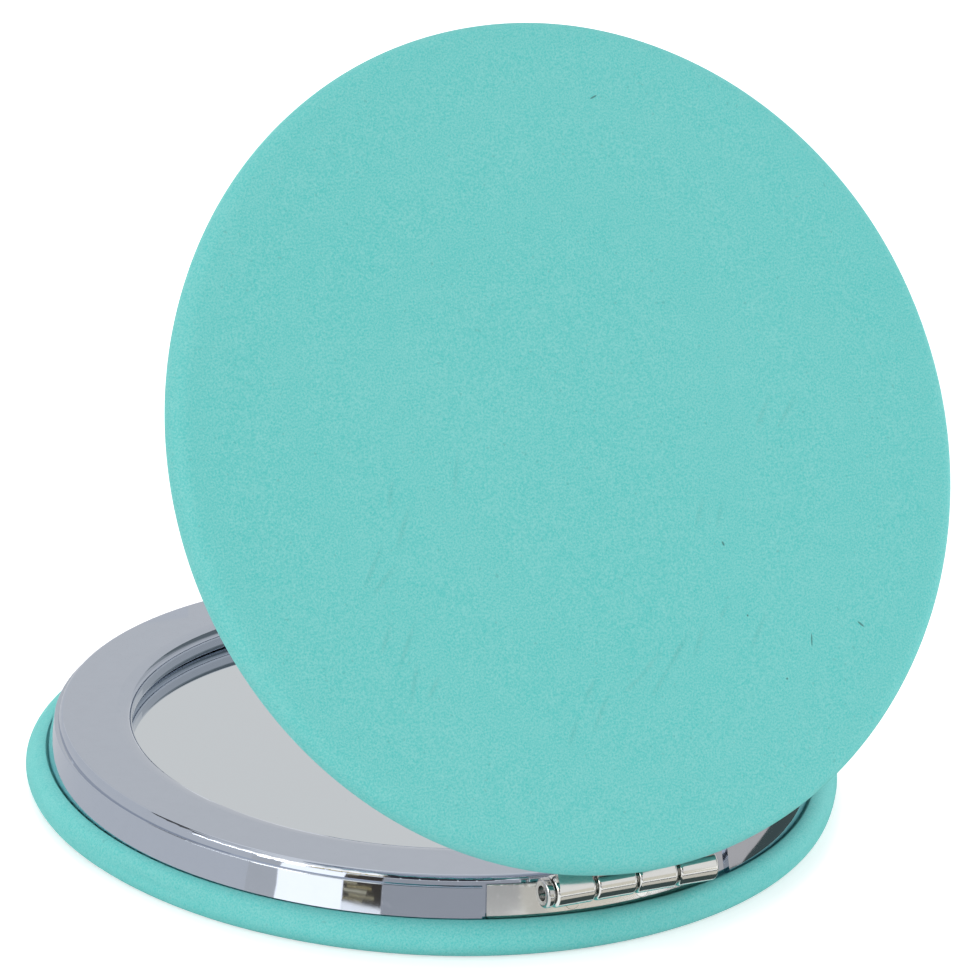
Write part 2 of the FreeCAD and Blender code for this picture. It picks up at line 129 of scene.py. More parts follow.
# Soft lights: name, place and size in metres, power in watts, and whether metal and glass reflect them
LAMP_AIM = (0.0, 0.0, 0.02)
LAMPS = (
    ("left_light", (-0.70, -0.08, 0.26), (0.52, 0.30), 2.2, True),
    ("top_light", (-0.10, -0.45, 1.00), (0.60, 0.60), 1.2, True),
    ("front_fill", (0.35, -0.80, 0.16), (0.50, 0.25), 2.4, False),
    ("right_fill", (0.85, -0.10, 0.16), (0.50, 0.25), 1.6, False),
    ("rear_light", (0.10, 0.62, 0.80), (0.50, 0.40), 3.2, False),
)

# Studio cards far off: name, azimuths and elevations in degrees, colour and strength
CARD_DISTANCE = 1.2
FAR_CARDS = (
    ("far_card", (38, 88), (4, 44), (0.73, 0.73, 0.73), 1.0),
    ("right_low", (-50, 38), (-6, 16), (0.68, 0.69, 0.70), 1.0),
    ("right_mid", (-50, 38), (16, 28), (0.58, 0.59, 0.60), 1.0),
    ("right_rise", (-50, 38), (28, 35), (0.32, 0.35, 0.36), 1.0),
    ("right_high", (-50, 38), (35, 64), (0.17, 0.20, 0.21), 1.0),
    ("left_card", (90, 172), (16, 47), (0.70, 0.71, 0.73), 1.0),
    ("left_line", (90, 150), (47, 54), (0.12, 0.12, 0.12), 1.0),
    ("left_high", (90, 172), (54, 64), (0.70, 0.71, 0.73), 1.0),
    ("gold_strip", (172, 229), (19, 26), (0.80, 0.66, 0.34), 1.0),
    ("shoulder_glow", (180, 229), (26, 42), (1.0, 0.97, 0.90), 1.7),
    ("front_screen", (229, 265), (15, 66), (0.05, 0.05, 0.06), 1.0),
)

# Cards on the table: name, azimuths, lower and upper edge (radius, height) in millimetres, colour, strength
NEAR_CARDS = (
    ("left_floor", (95, 207), (33.5, 0.2), (48, 0.2), (0.70, 0.71, 0.73), 1.0),
    ("left_paper", (90, 206.8), (48, 0), (48, 16), (0.70, 0.71, 0.73), 1.0),
    ("left_shade", (190, 210), (65, 0), (65, 16), (0.64, 0.645, 0.65), 1.0),
    ("left_screen", (210, 225), (65, 0), (65, 14), (1.0, 1.0, 1.0), 1.7),
    ("dark_strip", (225, 233.5), (65, 2.3), (65, 5.5), (0.07, 0.06, 0.05), 1.0),
    ("gold_streak_low", (225.2, 229.4), (64, 2.55), (64, 2.64), (0.75, 0.62, 0.30), 1.0),
    ("gold_streak_mid", (226.4, 232.0), (64, 2.86), (64, 2.97), (0.80, 0.70, 0.42), 1.0),
    ("gold_streak", (225.2, 230.2), (64, 3.16), (64, 3.32), (0.90, 0.84, 0.62), 1.0),
    ("gold_streak_high", (226.0, 231.2), (64, 3.52), (64, 3.62), (0.75, 0.62, 0.30), 1.0),
    ("gold_streak_top", (225.3, 228.0), (64, 3.84), (64, 3.98), (0.85, 0.76, 0.50), 1.0),
    ("front_floor", (232.4, 266.5), (90, 0.2), (110, 0.2), (0.47, 0.48, 0.50), 1.0),
    ("front_paper", (232.4, 266.5), (110, 0), (110, 20), (0.47, 0.48, 0.50), 1.0),
    ("warm_floor", (266.5, 272.3), (66, 0.2), (110, 0.2), (0.66, 0.65, 0.62), 1.0),
    ("warm_paper", (266.5, 272.3), (110, 0), (110, 17), (0.66, 0.65, 0.62), 1.0),
    ("gold_floor", (272.3, 292.3), (60, 0.2), (110, 0.2), (0.82, 0.79, 0.70), 1.0),
    ("gold_paper", (272.3, 292.3), (110, 0), (110, 17), (0.82, 0.79, 0.70), 1.0),
    ("hinge_line", (262, 304), (46, 0.5), (49, 0.6), (0.06, 0.06, 0.07), 1.0),
    # Dark sheet on the table by the hinge: painted shade, standing for the shade there that the metal reflects.
    ("hinge_shade_sheet", (262, 304), (33, 0.2), (39, 0.3), (0.06, 0.09, 0.09), 1.0),
    ("hinge_paper", (262, 304), (39, 0.3), (46, 0.4), (0.72, 0.70, 0.64), 1.0),
    # Dark sheet on the table by the base's right side: painted shade, standing for the shaded table there that
    # the metal reflects.
    ("right_shade_sheet", (304, 400), (33, 0.2), (43, 0.2), (0.075, 0.105, 0.10), 1.0),
    ("right_paper", (304, 400), (43, 0.2), (70, 0.3), (0.66, 0.62, 0.58), 1.0),
)

# The photograph's camera: width, focal length and optical middle in pixels, and what it looks at, in metres:
# to the right of and above a point over the base's middle, and that point's height
PICTURE_WIDTH, FOCAL_LENGTH, OPTICAL_MIDDLE = 980.0, 5136.262, (491.27, 469.745)
AIM_RIGHT, AIM_UP, AIM_HEIGHT = 0.004289, 0.011342, 0.015
SENSOR_WIDTH = 36.0
FLOOR_REACH = 4.0


# Settings that a user would change

class CoverSettings(PropertyGroup):
    """Sizes and colours of the padded covers."""

    radius: FloatProperty(
        name="Radius", description="Half the width of a padded cover",
        default=COVER_HIGH[0], unit="LENGTH", precision=5)
    height: FloatProperty(
        name="Edge height", description="From the cover's face to the top of its padded edge",
        default=COVER_HIGH[2], unit="LENGTH", precision=5)
    skin: FloatProperty(
        name="Skin thickness", description="Leatherette with its backing",
        default=FRAME_LOW[2] - BOARD_HIGH[2], unit="LENGTH", precision=5)
    reach: FloatProperty(
        name="Edge round", description="Width of the rounded edge, seen from above",
        default=1.518 * MILLIMETRE, unit="LENGTH", precision=5)
    pinch: FloatProperty(
        name="Pinch radius", description="Where the padded edge dips beside the frame's foot",
        default=30.90 * MILLIMETRE, unit="LENGTH", precision=5)
    turn_in: FloatProperty(
        name="Turn-in radius", description="Inner edge of the margin turned in under the frame",
        default=25.45 * MILLIMETRE, unit="LENGTH", precision=5)
    crown: FloatProperty(
        name="Lid crown", description="Rise of the lid's face at its middle",
        default=0.4 * MILLIMETRE, unit="LENGTH", precision=5)
    swell: FloatProperty(
        name="Swell", description="Unevenness of the padding",
        default=0.05 * MILLIMETRE, unit="LENGTH", precision=6)
    colour: FloatVectorProperty(
        name="Leatherette", description="Colour of the skin", subtype="COLOR",
        default=(0.157, 0.552, 0.53), min=0.0, max=1.0)
    # Painted light: the base's skin is made brighter than the lid's, to make up for the light that falls less
    # on the base's edge.
    base_painted_light_gain: FloatProperty(
        name="Base brightness", description="Base's skin against the lid's, which is a little more worn",
        default=1.05, min=0.5, max=1.5)
    foam_colour: FloatVectorProperty(
        name="Foam", description="Colour of the cover's foam", subtype="COLOR",
        default=(0.72, 0.70, 0.62), min=0.0, max=1.0)
    tape_colour: FloatVectorProperty(
        name="Foam tape", description="Colour of the tape behind the mirrors", subtype="COLOR",
        default=(0.85, 0.85, 0.83), min=0.0, max=1.0)


class HardwareSettings(PropertyGroup):
    """Colours of the metal, glass and board."""

    frame_colour: FloatVectorProperty(
        name="Plated frame", description="Reflected colour of the ring frames", subtype="COLOR",
        default=(0.53, 0.573, 0.652), min=0.0, max=1.0)
    hinge_colour: FloatVectorProperty(
        name="Plated hinge", description="Reflected colour of the hinge leaves", subtype="COLOR",
        default=(0.67, 0.67, 0.65), min=0.0, max=1.0)
    mirror_colour: FloatVectorProperty(
        name="Mirror", description="Reflected colour of the mirrors", subtype="COLOR",
        default=(0.72, 0.76, 0.79), min=0.0, max=1.0)
    steel_colour: FloatVectorProperty(
        name="Pin", description="Reflected colour of the hinge pin", subtype="COLOR",
        default=(0.50, 0.50, 0.49), min=0.0, max=1.0)
    board_colour: FloatVectorProperty(
        name="Board", description="Colour of the stiff board", subtype="COLOR",
        default=(0.36, 0.33, 0.29), min=0.0, max=1.0)
    magnet_colour: FloatVectorProperty(
        name="Magnet", description="Colour of the closing magnets", subtype="COLOR",
        default=(0.50, 0.49, 0.47), min=0.0, max=1.0)


class StageSettings(PropertyGroup):
    """Floor, light and camera."""

    floor_colour: FloatVectorProperty(
        name="Floor", description="Colour of the floor", subtype="COLOR",
        default=(0.80, 0.80, 0.80), min=0.0, max=1.0)
    floor_glow: FloatProperty(
        name="Floor lift", description="Light added to the floor where it is seen, to make it white",
        default=0.50, min=0.0)
    world_strength: FloatProperty(
        name="Room light", description="Even light from all round", default=0.55, min=0.0)
    azimuth: FloatProperty(
        name="Azimuth", description="Camera's direction round the object", default=math.radians(-28.007),
        subtype="ANGLE")
    elevation: FloatProperty(
        name="Elevation", description="Camera's height over the horizon", default=math.radians(20.778),
        subtype="ANGLE")
    roll: FloatProperty(
        name="Roll", description="Camera's tilt to one side", default=math.radians(3.008), subtype="ANGLE")
    distance: FloatProperty(
        name="Distance", description="Camera to the object", default=0.410016, unit="LENGTH")
    lens: FloatProperty(
        name="Lens", description="Focal length over the picture's width",
        default=FOCAL_LENGTH / PICTURE_WIDTH)


# Shader expressions

class Signal:
    """One output socket. Arithmetic on it adds Math nodes to its graph."""

    def __init__(self, graph, socket):
        self.graph, self.socket = graph, socket

    def math(self, operation, *values):
        return self.graph.node("ShaderNodeMath", {"operation": operation}, dict(enumerate(values)))

    def __add__(self, other):
        return self.math("ADD", self, other)

    def __radd__(self, other):
        return self.math("ADD", other, self)

    def __sub__(self, other):
        return self.math("SUBTRACT", self, other)

    def __rsub__(self, other):
        return self.math("SUBTRACT", other, self)

    def __mul__(self, other):
        return self.math("MULTIPLY", self, other)

    def most(self, other):
        return self.math("MAXIMUM", self, other)

    def step(self, low, high):
        """0 below low and 1 above high, smooth between; falls instead if low is above high."""
        ends = (low, high, 0.0, 1.0) if low < high else (high, low, 1.0, 0.0)
        names = ("From Min", "From Max", "To Min", "To Max")
        inputs = {"Value": self, **dict(zip(names, ends))}
        return self.graph.node("ShaderNodeMapRange", {"interpolation_type": "SMOOTHSTEP"}, inputs)


class Graph:
    """The node tree of one finish."""

    def __init__(self, owner):
        owner.use_nodes = True
        self.tree = owner.node_tree
        self.tree.nodes.clear()

    def node(self, kind, settings=None, inputs=None, output=0):
        """Adds a node, sets its settings, fills its sockets with values or links, and gives one output."""
        made = self.tree.nodes.new(kind)
        for name, value in (settings or {}).items():
            setattr(made, name, value)
        for name, value in (inputs or {}).items():
            if isinstance(value, Signal):
                self.tree.links.new(value.socket, made.inputs[name])
            else:
                made.inputs[name].default_value = value
        return Signal(self, made.outputs[output]) if made.outputs else None

    def place(self, turn=(0, 0, 0), stretch=(1, 1, 1)):
        """Object coordinates in millimetres, turned and stretched."""
        spot = self.node("ShaderNodeTexCoord", output="Object")
        size = [MILLIMETRE / s for s in stretch]
        return self.node("ShaderNodeMapping", {"vector_type": "TEXTURE"}, {
            "Vector": spot, "Rotation": turn, "Scale": size})

    def noise(self, place, scale, detail, roughness=0.5):
        return self.node("ShaderNodeTexNoise", None, {
            "Vector": place, "Scale": scale, "Detail": detail, "Roughness": roughness})

    def cells(self, place, scale):
        return self.node("ShaderNodeTexVoronoi", {"feature": "F1"}, {
            "Vector": place, "Scale": scale}, "Distance")

    def blend(self, factor, first, second):
        """Mix of two colours."""
        return self.node("ShaderNodeMix", {"data_type": "RGBA"}, {0: factor, 6: first, 7: second}, 2)

    def bump(self, height, depth, strength):
        return self.node("ShaderNodeBump", None, {
            "Height": height, "Distance": depth, "Strength": strength})

    def surface(self, inputs):
        """Principled surface from the named sockets."""
        shader = self.node("ShaderNodeBsdfPrincipled", None, inputs)
        self.node("ShaderNodeOutputMaterial", None, {"Surface": shader})


def rgba(colour, gain=1.0):
    return [min(1.0, gain * channel) for channel in colour] + [1.0]


def new_finish(name):
    material = bpy.data.materials.new(name)
    return material, Graph(material)


# Finishes

def leatherette(name, colour, turn, nicks=(), creases=()):
    """Matte coated cloth: fine grain with painted glints, sparse dark specks, faint mottling, creases and nicks
    with painted shade.

    The grain's painted glints show most in the red, as the tiny glints of a coloured skin do.
    """
    material, graph = new_finish(name)
    place = graph.place(turn)
    grain = graph.noise(place, GRAIN, 2.0, 0.75)
    mottle = graph.noise(place, MOTTLE, 2.0, 0.55)
    broad = graph.noise(place, BROAD, 1.0)
    speck = graph.noise(place, SPECK, 1.0, 0.6).step(0.30, 0.20)
    glint_and_mottle = (grain - 0.5) * 2.0 + (mottle - 0.5) * 0.25 + (broad - 0.5) * 0.15 + 0.5
    # The grain's lighter and darker colour is painted glints, with the faint mottling.
    shade = graph.blend(glint_and_mottle, rgba(colour - PAINTED_GLINT_AND_MOTTLE), rgba(colour + PAINTED_GLINT_AND_MOTTLE))
    shade = graph.blend(speck * 0.25, shade, rgba(colour, SPECK_DARK_AND_FOLD_SHADE))
    height = grain * 0.6 + mottle * 0.3 - speck * 0.5
    # Creases darkened in the colour: painted shade.
    for x0, y0, x1, y1 in creases:
        middle = ((x0 + x1) / 2, (y0 + y1) / 2)
        lie = math.degrees(math.atan2(y1 - y0, x1 - x0))
        half_length = FOLD_REACH * math.hypot(x1 - x0, y1 - y0) + CREASE_WIDTH
        fold = lens_mask(graph, *middle, lie, half_length, CREASE_WIDTH, FOLD_CORE)
        shade = graph.blend(fold * FOLD_SHADE, shade, rgba(colour, SPECK_DARK_AND_FOLD_SHADE))
    # Nicks darkened in the colour, as well as sunk by the bump: painted shade in the cuts.
    for nick in nicks:
        cut = lens_mask(graph, *nick, NICK_CORE)
        shade = graph.blend(cut * NICK_SHADE, shade, rgba(colour, NICK_CUT_SHADE))
        height = height - cut * 1.5
    graph.surface({
        "Base Color": shade,
        "Roughness": 0.60 + (grain - 0.5) * 0.4,
        "Specular IOR Level": 0.2,
        "Normal": graph.bump(height, 0.02 * MILLIMETRE, 0.5),
    })
    return material


def lens_mask(graph, x, y, turn, half_length, half_width, core):
    """1 in the core of a lens-shaped place on the lid's face, fading to 0 at its edge."""
    spot = lid_placed(np.array([[x, y, 0.0]]) * MILLIMETRE)[0]
    facing = Matrix.Rotation(LID_ANGLE, 3, "X") @ Matrix.Rotation(math.radians(180.0 - turn), 3, "Z")
    where = graph.node("ShaderNodeTexCoord", output="Object")
    size = [half_length * MILLIMETRE, half_width * MILLIMETRE, MILLIMETRE]
    place = graph.node("ShaderNodeMapping", {"vector_type": "TEXTURE"}, {
        "Vector": where, "Location": spot, "Rotation": facing.to_euler(), "Scale": size})
    away = graph.node("ShaderNodeVectorMath", {"operation": "LENGTH"}, {0: place}, "Value")
    return away.step(1.0, core)


def foam(name, colour, scale):
    """Open foam: rounded cells with hollows darkened by painted shade."""
    material, graph = new_finish(name)
    place = graph.place()
    cell = graph.cells(place, scale)
    # Cell hollows darkened: painted shade.
    shade = graph.blend(cell.step(0.1, 0.7), rgba(colour, 0.72), rgba(colour))
    graph.surface({
        "Base Color": shade,
        "Roughness": 0.9,
        "Normal": graph.bump(cell, 0.08 * MILLIMETRE, 0.6),
    })
    return material


def plated(name, colour, roughness):
    """Bright plating: nearly clean, with a slight moulded waviness, haze and hairline scratches."""
    material, graph = new_finish(name)
    place = graph.place()
    wave = graph.noise(place, 0.16, 1.0)
    haze = graph.noise(place, 0.8, 3.0, 0.6)
    hair = graph.noise(graph.place((0.4, 0.2, 0.9), (4.0, 0.09, 1.0)), 2.0, 1.0).step(0.66, 0.74)
    shade = graph.blend(haze.step(0.3, 0.8), rgba(colour, 1.005), rgba(colour, 0.985))
    graph.surface({
        "Base Color": shade,
        "Metallic": 1.0,
        "Roughness": roughness + haze * 0.02 + hair * 0.03,
        "Normal": graph.bump(wave, 0.01 * MILLIMETRE, 0.3),
    })
    return material


def mirror_glass(name, colour):
    """Silvered glass with the faintest smears of handling."""
    material, graph = new_finish(name)
    place = graph.place()
    smear = graph.noise(graph.place((0, 0, 0.6), (0.12, 0.03, 0.1)), 1.0, 2.0).step(0.55, 0.8)
    dust = graph.cells(place, 0.5).step(0.05, 0.02)
    shade = graph.blend(dust * 0.25, rgba(colour), rgba(colour, 0.8))
    graph.surface({
        "Base Color": shade,
        "Metallic": 1.0,
        "Roughness": 0.012 + smear * 0.012,
    })
    return material


def pressed_board(name, colour):
    """Dense board: short fibres and flecks."""
    material, graph = new_finish(name)
    fibre = graph.noise(graph.place((0, 0, 0.3), (2.5, 0.5, 1.0)), 1.0, 4.0)
    fleck = graph.cells(graph.place(), 1.1).step(0.14, 0.08)
    shade = graph.blend(fibre, rgba(colour, 0.7), rgba(colour, 1.25))
    shade = graph.blend(fleck * 0.5, shade, rgba(colour, 0.5))
    graph.surface({
        "Base Color": shade,
        "Roughness": 0.85,
        "Normal": graph.bump(fibre, 0.02 * MILLIMETRE, 0.5),
    })
    return material


# Surfaces

def arc(centre, radii, start, end, count):
    """Points of an ellipse's arc: centre + radii * (cos t, sin t), from angle start to angle end."""
    t = np.linspace(start, end, count)
    return np.stack([centre[0] + radii[0] * np.cos(t), centre[1] + radii[1] * np.sin(t)], axis=1)


def face(radius, height, crown, count):
    """A face from its middle outwards: z = height - crown * (1 - (r / radius) squared).

    The points lie three times closer outside the middle third.
    """
    core = radius / 3
    r = np.concatenate([np.linspace(0.0, core, count // 7 + 1), np.linspace(core, radius, count)[1:]])
    return np.stack([r, height - crown * (1.0 - (r / radius) ** 2)], axis=1)


def straight(start, end, count):
    """Evenly spaced points from start to end."""
    t = np.linspace(0.0, 1.0, count)[:, None]
    return np.asarray(start) * (1.0 - t) + np.asarray(end) * t


def joined(*runs):
    """Runs of points put end to end, without the points they share."""
    return np.concatenate([runs[0]] + [run[1:] for run in runs[1:]])


def lid_placed(points):
    """Base-half points as they lie in the lid: turned over about Y at hinge height, then swung open about X."""
    x, y, z = -points[:, 0], points[:, 1] - HINGE[1], HINGE[2] - points[:, 2]
    c, s = math.cos(LID_ANGLE), math.sin(LID_ANGLE)
    return np.stack([x, HINGE[1] + y * c - z * s, HINGE[2] + y * s + z * c], axis=1)


def revolved(profile, count, swell=None):
    """Closed surface of a profile turned about Z: (r cos v, r sin v, z), with one point at each pole.

    The profile runs from the axis on the outside to the axis on the inside. swell(r, z, v) is a move
    along the profile's normal.
    """
    step = np.gradient(profile, axis=0)
    normal = np.stack([step[:, 1], -step[:, 0]], axis=1)
    normal /= np.linalg.norm(normal, axis=1, keepdims=True)
    v = np.linspace(0.0, 2.0 * math.pi, count, endpoint=False)[None, :]
    r, z = profile[1:-1, :1], profile[1:-1, 1:]
    move = np.zeros((len(r), count)) if swell is None else swell(r, z, v)
    radius = r + move * normal[1:-1, :1]
    height = np.broadcast_to(z, move.shape) + move * normal[1:-1, 1:]
    grid = np.stack([radius * np.cos(v), radius * np.sin(v), height], axis=2).reshape(-1, 3)
    poles = np.array([[0.0, 0.0, profile[0, 1]], [0.0, 0.0, profile[-1, 1]]])
    rows = len(r)
    at = np.arange(rows * count).reshape(rows, count)
    beside = np.roll(at, -1, axis=1)
    quads = np.stack([at[:-1], beside[:-1], beside[1:], at[1:]], axis=2).reshape(-1, 4)
    first, last = rows * count, rows * count + 1
    start = np.stack([np.full(count, first), beside[0], at[0]], axis=1)
    end = np.stack([np.full(count, last), at[-1], beside[-1]], axis=1)
    return np.concatenate([grid, poles]), quads, np.concatenate([start, end])


def piece(name, surface, half, material, node):
    """Makes the object of a surface, sets it in its half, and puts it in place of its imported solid."""
    points, quads, triangles = surface
    if half == "lid":
        points = lid_placed(points)
    mesh = bpy.data.meshes.new(name)
    mesh.from_pydata(points.tolist(), [], quads.tolist() + triangles.tolist())
    mesh.polygons.foreach_set("use_smooth", np.ones(len(mesh.polygons), dtype=bool))
    mesh.update()
    made = bpy.data.objects.new(name, mesh)
    bpy.context.scene.collection.objects.link(made)
    made.data.materials.append(material)
    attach(made, half)
    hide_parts(node)
    return made


def skin_profile(cover, crown, rows):
    """Skin's section: face and round edge outside, then the dip, the turned-in margin and the inside.

    Gives the points, and how many of them are outside.
    """
    middle = cover.height / 2
    flat = cover.radius - cover.reach
    seat = FRAME_LOW[2]
    inner = seat - cover.skin
    outside = joined(
        face(flat, 0.0, crown, rows),
        arc((flat, middle), (cover.reach, middle), -QUARTER, QUARTER, 29),
    )
    inside = joined(
        arc((flat, seat), (flat - cover.pinch, cover.height - seat), QUARTER, math.pi, 7),
        straight((cover.pinch, seat), (cover.turn_in, seat), 5),
        straight((cover.turn_in, seat), (cover.turn_in, inner), 3),
        straight((cover.turn_in, inner), (cover.pinch, inner), 5),
        straight((cover.pinch, inner), (flat, cover.height - cover.skin), 3),
        arc((flat, middle), (cover.reach - cover.skin, middle - cover.skin), QUARTER, -QUARTER, 11),
        face(flat, cover.skin, crown, 8)[::-1],
    )
    return joined(outside, inside), len(outside)


def foam_profile(cover, crown):
    """Foam's section: inside of the skin, then round the board's edge and back under it."""
    middle = cover.height / 2
    flat = cover.radius - cover.reach
    board = BOARD_HIGH[0]
    return joined(
        face(flat, cover.skin, crown, 24),
        arc((flat, middle), (cover.reach - cover.skin, middle - cover.skin), -QUARTER, QUARTER, 17),
        straight((flat, cover.height - cover.skin), (cover.pinch, BOARD_HIGH[2]), 3),
        straight((cover.pinch, BOARD_HIGH[2]), (board, BOARD_HIGH[2]), 2),
        straight((board, BOARD_HIGH[2]), (board, BOARD_LOW[2]), 4),
        straight((board, BOARD_LOW[2]), (0.0, BOARD_LOW[2]), 12),
    )


def tape_profile(soft):
    """Foam tape's section: a thin disc whose cut edge bulges a little."""
    radius, low, high = PAD_HIGH[0] - soft, PAD_LOW[2], PAD_HIGH[2]
    return joined(
        straight((0.0, low), (radius, low), 10),
        arc((radius, (low + high) / 2), (soft, (high - low) / 2), -QUARTER, QUARTER, 9),
        straight((radius, high), (0.0, high), 10),
    )


def crease_depth(x, y):
    """Depth of the creases at a place: each falls off with the square of the distance from its own line."""
    depth = np.zeros(np.broadcast(x, y).shape)
    for x0, y0, x1, y1 in np.array(CREASES) * MILLIMETRE:
        along = ((x - x0) * (x1 - x0) + (y - y0) * (y1 - y0)) / ((x1 - x0) ** 2 + (y1 - y0) ** 2)
        along = np.clip(along, 0.0, 1.0)
        away = np.hypot(x - x0 - along * (x1 - x0), y - y0 - along * (y1 - y0))
        depth = np.maximum(depth, np.exp(-(away / (CREASE_WIDTH * MILLIMETRE)) ** 2))
    return depth * CREASE_DEPTH * MILLIMETRE


def edge_push(cover, r, v):
    """Sum of smooth humps and hollows round the edge.

    They grow with the cube of the way out, so that none goes below the face.
    """
    out = np.clip((r - cover.radius + cover.reach) / cover.reach, 0.0, 1.0)
    total = np.zeros_like(v)
    for middle, width, move in PUSHES:
        away = np.degrees(np.angle(np.exp(1j * (v - math.radians(middle)))))
        total = total + move * MILLIMETRE * np.exp(-(away / width) ** 2)
    return out ** 3 * total


def padding_swell(cover, crown, outside):
    """Unevenness of the padding: a few waves round the edge, and on a crowned face waves and creases.

    Only the outside swells, and a flat face stays on the table. A flat cover's edge has the pushes too,
    which its inside follows.
    """
    flat = cover.radius - cover.reach
    seat = FRAME_LOW[2]

    def swell(r, z, v):
        x, y = r * np.cos(v), r * np.sin(v)
        a, b = x / cover.radius, y / cover.radius
        out = np.clip((r - flat) / cover.reach, 0.0, 1.0)
        rim = out * np.clip((seat - z) / seat, 0.0, 1.0)
        round_edge = sum(share * np.sin(waves * v + start) for share, waves, start in EDGE_WAVES)
        over_face = np.sin(3.1 * a + 1.7 * b + 0.4) * np.sin(2.3 * b - 1.9 * a)
        over_face = over_face + 0.5 * np.sin(6.3 * a - 4.1 * b)
        on_face = np.where(z <= 0.0, 1.0 - np.clip(r / flat, 0.0, 1.0) ** 8, 0.0) * (crown > 0)
        moved = cover.swell * (EDGE_SHARE * rim * round_edge + on_face * over_face)
        moved = moved - on_face * crease_depth(x, y)
        moved[outside - 1:] = 0.0
        if crown == 0:
            side = np.where(np.arange(len(r)) < outside - 1, 1.0, -1.0)[:, None]
            moved = moved + side * edge_push(cover, r, v)
        return moved

    return swell


# Operators

class COMPACT_OT_cover_skins(Operator):
    """Make the two padded leatherette covers"""
    bl_idname = "compact.cover_skins"
    bl_label = "Padded covers"

    def execute(self, context):
        cover = context.scene.compact_cover
        for half in HALVES:
            lid = half == "lid"
            crown, rows, turn = (cover.crown, LID_ROWS, LID_ANGLE) if lid else (0.0, BASE_ROWS, 0.0)
            # The base's skin is brightened by its painted light gain.
            colour = np.array(cover.colour) * (1.0 if lid else cover.base_painted_light_gain)
            marks = (NICKS, CREASES) if lid else ()
            finish = leatherette(half + "_leatherette", colour, (turn, 0.0, 0.0), *marks)
            profile, outside = skin_profile(cover, crown, rows)
            surface = revolved(profile, SKIN_TURNS, padding_swell(cover, crown, outside))
            node = half + "_cover_skin"
            piece(half + "_padded_cover", surface, half, finish, node)
        return {"FINISHED"}


class COMPACT_OT_cover_foams(Operator):
    """Make the foam under each cover's skin"""
    bl_idname = "compact.cover_foams"
    bl_label = "Cover foam"

    def execute(self, context):
        cover = context.scene.compact_cover
        finish = foam("open_foam", cover.foam_colour, FOAM_CELLS)
        for half in HALVES:
            lid = half == "lid"
            profile = foam_profile(cover, cover.crown if lid else 0.0)
            push = None if lid else lambda r, z, v: edge_push(cover, r, v)
            surface = revolved(profile, FOAM_TURNS, push)
            node = half + "_cover_foam"
            piece(half + "_foam_layer", surface, half, finish, node)
        return {"FINISHED"}


class COMPACT_OT_mirror_tapes(Operator):
    """Make the foam tape behind each mirror"""
    bl_idname = "compact.mirror_tapes"
    bl_label = "Mirror foam tape"

    def execute(self, context):
        cover = context.scene.compact_cover
        finish = foam("tape_foam", cover.tape_colour, TAPE_CELLS)
        for half in HALVES:
            surface = revolved(tape_profile(TAPE_BULGE * MILLIMETRE), FOAM_TURNS)
            node = half + "_mirror_pad"
            piece(half + "_foam_tape", surface, half, finish, node)
        return {"FINISHED"}


class COMPACT_OT_hardware(Operator):
    """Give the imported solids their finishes"""
    bl_idname = "compact.hardware"
    bl_label = "Frames, mirrors and hinge"

    def execute(self, context):
        colours = context.scene.compact_hardware
        frames = plated("plated_frame", colours.frame_colour, FRAME_ROUGHNESS)
        leaves = plated("plated_hinge", colours.hinge_colour, HINGE_ROUGHNESS)
        glass = mirror_glass("mirror_glass", colours.mirror_colour)
        wire = plated("plated_wire", colours.steel_colour, PIN_ROUGHNESS)
        board = pressed_board("pressed_board", colours.board_colour)
        nickel = plated("plated_magnet", colours.magnet_colour, MAGNET_ROUGHNESS)
        finishes = {
            "frame": frames, "mirror": glass, "hinge_leaf": leaves,
            "hinge_rivets": leaves, "cover_board": board, "magnet": nickel,
        }
        given = {half + "_" + name: finish for half in HALVES for name, finish in finishes.items()}
        given["hinge_pin"] = wire
        for node, finish in given.items():
            materials = frame["nodes"][node].data.materials
            materials.clear()
            materials.append(finish)
        return {"FINISHED"}


class COMPACT_OT_stage(Operator):
    """Set the floor, the light and the camera"""
    bl_idname = "compact.stage"
    bl_label = "Stage"

    def execute(self, context):
        stage = context.scene.compact_stage
        make_floor(stage)
        make_world(stage)
        make_lamps()
        make_camera(stage)
        context.scene.view_settings.view_transform = "Standard"
        return {"FINISHED"}


# Stage

def seen(graph):
    """1 for rays from the camera and rays reflected or let through, 0 for the rest."""
    path = "ShaderNodeLightPath"
    camera = graph.node(path, output="Is Camera Ray")
    glossy = graph.node(path, output="Is Glossy Ray")
    through = graph.node(path, output="Is Transmission Ray")
    return camera.most(glossy).most(through)


def make_floor(stage):
    """Pale floor, lifted to white where it is seen, so that only the object's shadow shows on it."""
    side = np.array([-FLOOR_REACH, FLOOR_REACH])
    x, y = np.meshgrid(side, side)
    points = np.stack([x, y, np.zeros_like(x)], axis=2).reshape(-1, 3)
    mesh = bpy.data.meshes.new("floor")
    mesh.from_pydata(points.tolist(), [], [(0, 1, 3, 2)])
    material, graph = new_finish("floor_paint")
    speck = graph.noise(graph.place(), 0.4, 2.0)
    shade = graph.blend(speck, rgba(stage.floor_colour, 0.99), rgba(stage.floor_colour, 1.01))
    paint = graph.node("ShaderNodeBsdfDiffuse", None, {"Color": shade})
    glow = graph.node("ShaderNodeEmission", None, {"Strength": seen(graph) * stage.floor_glow})
    both = graph.node("ShaderNodeAddShader", None, {0: paint, 1: glow})
    graph.node("ShaderNodeOutputMaterial", None, {"Surface": both})
    mesh.materials.append(material)
    floor = bpy.data.objects.new("floor", mesh)
    bpy.context.scene.collection.objects.link(floor)


